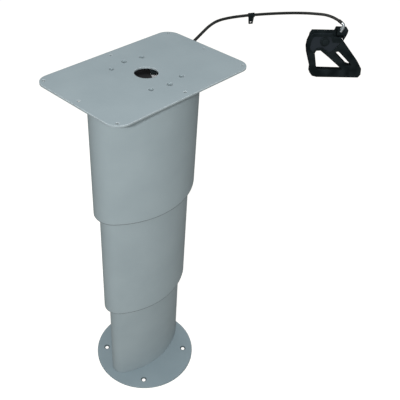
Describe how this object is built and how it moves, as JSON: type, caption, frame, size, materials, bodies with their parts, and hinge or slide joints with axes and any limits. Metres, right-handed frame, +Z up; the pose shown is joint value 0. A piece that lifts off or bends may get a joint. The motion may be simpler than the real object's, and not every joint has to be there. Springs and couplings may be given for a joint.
{
  "type": "telescoping pedestal table base",
  "caption": "telescoping table pedestal with three oval aluminium stages, round floor plate, rectangular table plate, lockable gas spring and a hand release on a cable",
  "frame": {"origin": "centre of the floor plate's underside", "axes": "+Z up along the stages; +X along the long axis of the oval stages and of the table plate, towards the side where the release cable leaves; +Y towards the rear"},
  "size_m": [0.6626, 0.2323, 0.7],
  "materials": {
    "coated_aluminium": "satin blue-grey powder coat",
    "cast_aluminium": "as cast",
    "black_casting": "cast, black anodised",
    "ring_plastic": "grey acetal, as moulded",
    "zinc_steel": "bright zinc plate",
    "ground_steel": "ground and polished",
    "black_enamel": "gloss black enamel",
    "brass": "turned brass",
    "roller_nylon": "natural nylon",
    "black_plastic": "satin black glass-filled nylon",
    "cable_sheath": "black plastic sheath"
  },
  "bodies": {
    "base": {"base_plate": "coated_aluminium", "foot_insert": "cast_aluminium", "foot_screw_1": "zinc_steel", "foot_screw_2": "zinc_steel", "foot_screw_3": "zinc_steel", "foot_screw_4": "zinc_steel", "tube_lower": "coated_aluminium", "glide_lower": "ring_plastic", "rope_crimp_lower_front": "brass", "rope_crimp_lower_rear": "brass", "sync_rope_short_front": "zinc_steel", "sync_rope_short_rear": "zinc_steel"},
    "middle": {"tube_middle": "coated_aluminium", "guide_middle": "ring_plastic", "glide_middle": "ring_plastic", "bridge_middle": "cast_aluminium", "bridge_screw_left": "zinc_steel", "bridge_screw_right": "zinc_steel", "gas_spring_cylinder": "black_enamel", "gas_spring_nut": "zinc_steel", "sync_roller_front": "roller_nylon", "sync_roller_rear": "roller_nylon", "roller_pin_front": "zinc_steel", "roller_pin_rear": "zinc_steel", "sync_rope_bend_front": "zinc_steel", "sync_rope_bend_rear": "zinc_steel", "sync_rope_long_front": "zinc_steel", "sync_rope_long_rear": "zinc_steel"},
    "upper": {"tube_upper": "coated_aluminium", "guide_upper": "ring_plastic", "head_casting": "black_casting", "top_plate": "coated_aluminium", "plate_screw_1": "zinc_steel", "plate_screw_2": "zinc_steel", "plate_screw_3": "zinc_steel", "plate_screw_4": "zinc_steel", "plate_screw_front": "zinc_steel", "plate_screw_rear": "zinc_steel", "gas_spring_rod": "ground_steel", "rod_lock_nut": "zinc_steel", "cam_pivot_screw": "zinc_steel", "rope_crimp_upper_front": "brass", "rope_crimp_upper_rear": "brass", "cable_stop": "brass", "cable_grommet": "ring_plastic", "cable_conduit": "cable_sheath", "cable_clip": "black_plastic", "cable_mouth": "cable_sheath", "cable_elbow": "zinc_steel", "cable_ferrule": "zinc_steel", "handle_bracket": "black_plastic", "handle_pivot_pin": "black_plastic", "handle_spring": "zinc_steel"},
    "cam": {"release_cam": "black_plastic", "cam_nipple": "brass"},
    "valve": {"valve_pin": "ground_steel"},
    "lever": {"handle_lever": "black_plastic", "wire_barrel": "brass"}
  },
  "joints": [
    {"name": "slide_middle", "type": "slide", "parent": "base", "child": "middle", "axis": [0, 0, 1], "range_m": [-0.18, 0], "deforming": ["sync_rope_short_front", "sync_rope_short_rear"]},
    {"name": "slide_upper", "type": "slide", "parent": "middle", "child": "upper", "axis": [0, 0, 1], "range_m": [-0.18, 0], "deforming": ["sync_rope_long_front", "sync_rope_long_rear"]},
    {"name": "lever_hinge", "type": "hinge", "parent": "upper", "child": "lever", "pos_m": [0.4387, -0.0618, 0.645], "axis": [0.7071, 0.7071, 0], "range_deg": [0, 16], "stiffness_Nm_per_rad": 2},
    {"name": "cam_hinge", "type": "hinge", "parent": "upper", "child": "cam", "pos_m": [0.034, 0.016, 0.694], "axis": [0, 0, 1], "range_deg": [0, 20]},
    {"name": "valve_slide", "type": "slide", "parent": "upper", "child": "valve", "axis": [0, 0, -1], "range_m": [0, 0.0025]}
  ],
  "couplings": [
    {"joint": "slide_upper", "follows": "slide_middle", "ratio": 1},
    {"joint": "cam_hinge", "follows": "lever_hinge", "ratio": 1.25},
    {"joint": "valve_slide", "follows": "lever_hinge", "m_per_rad": 0.0089525}
  ]
}
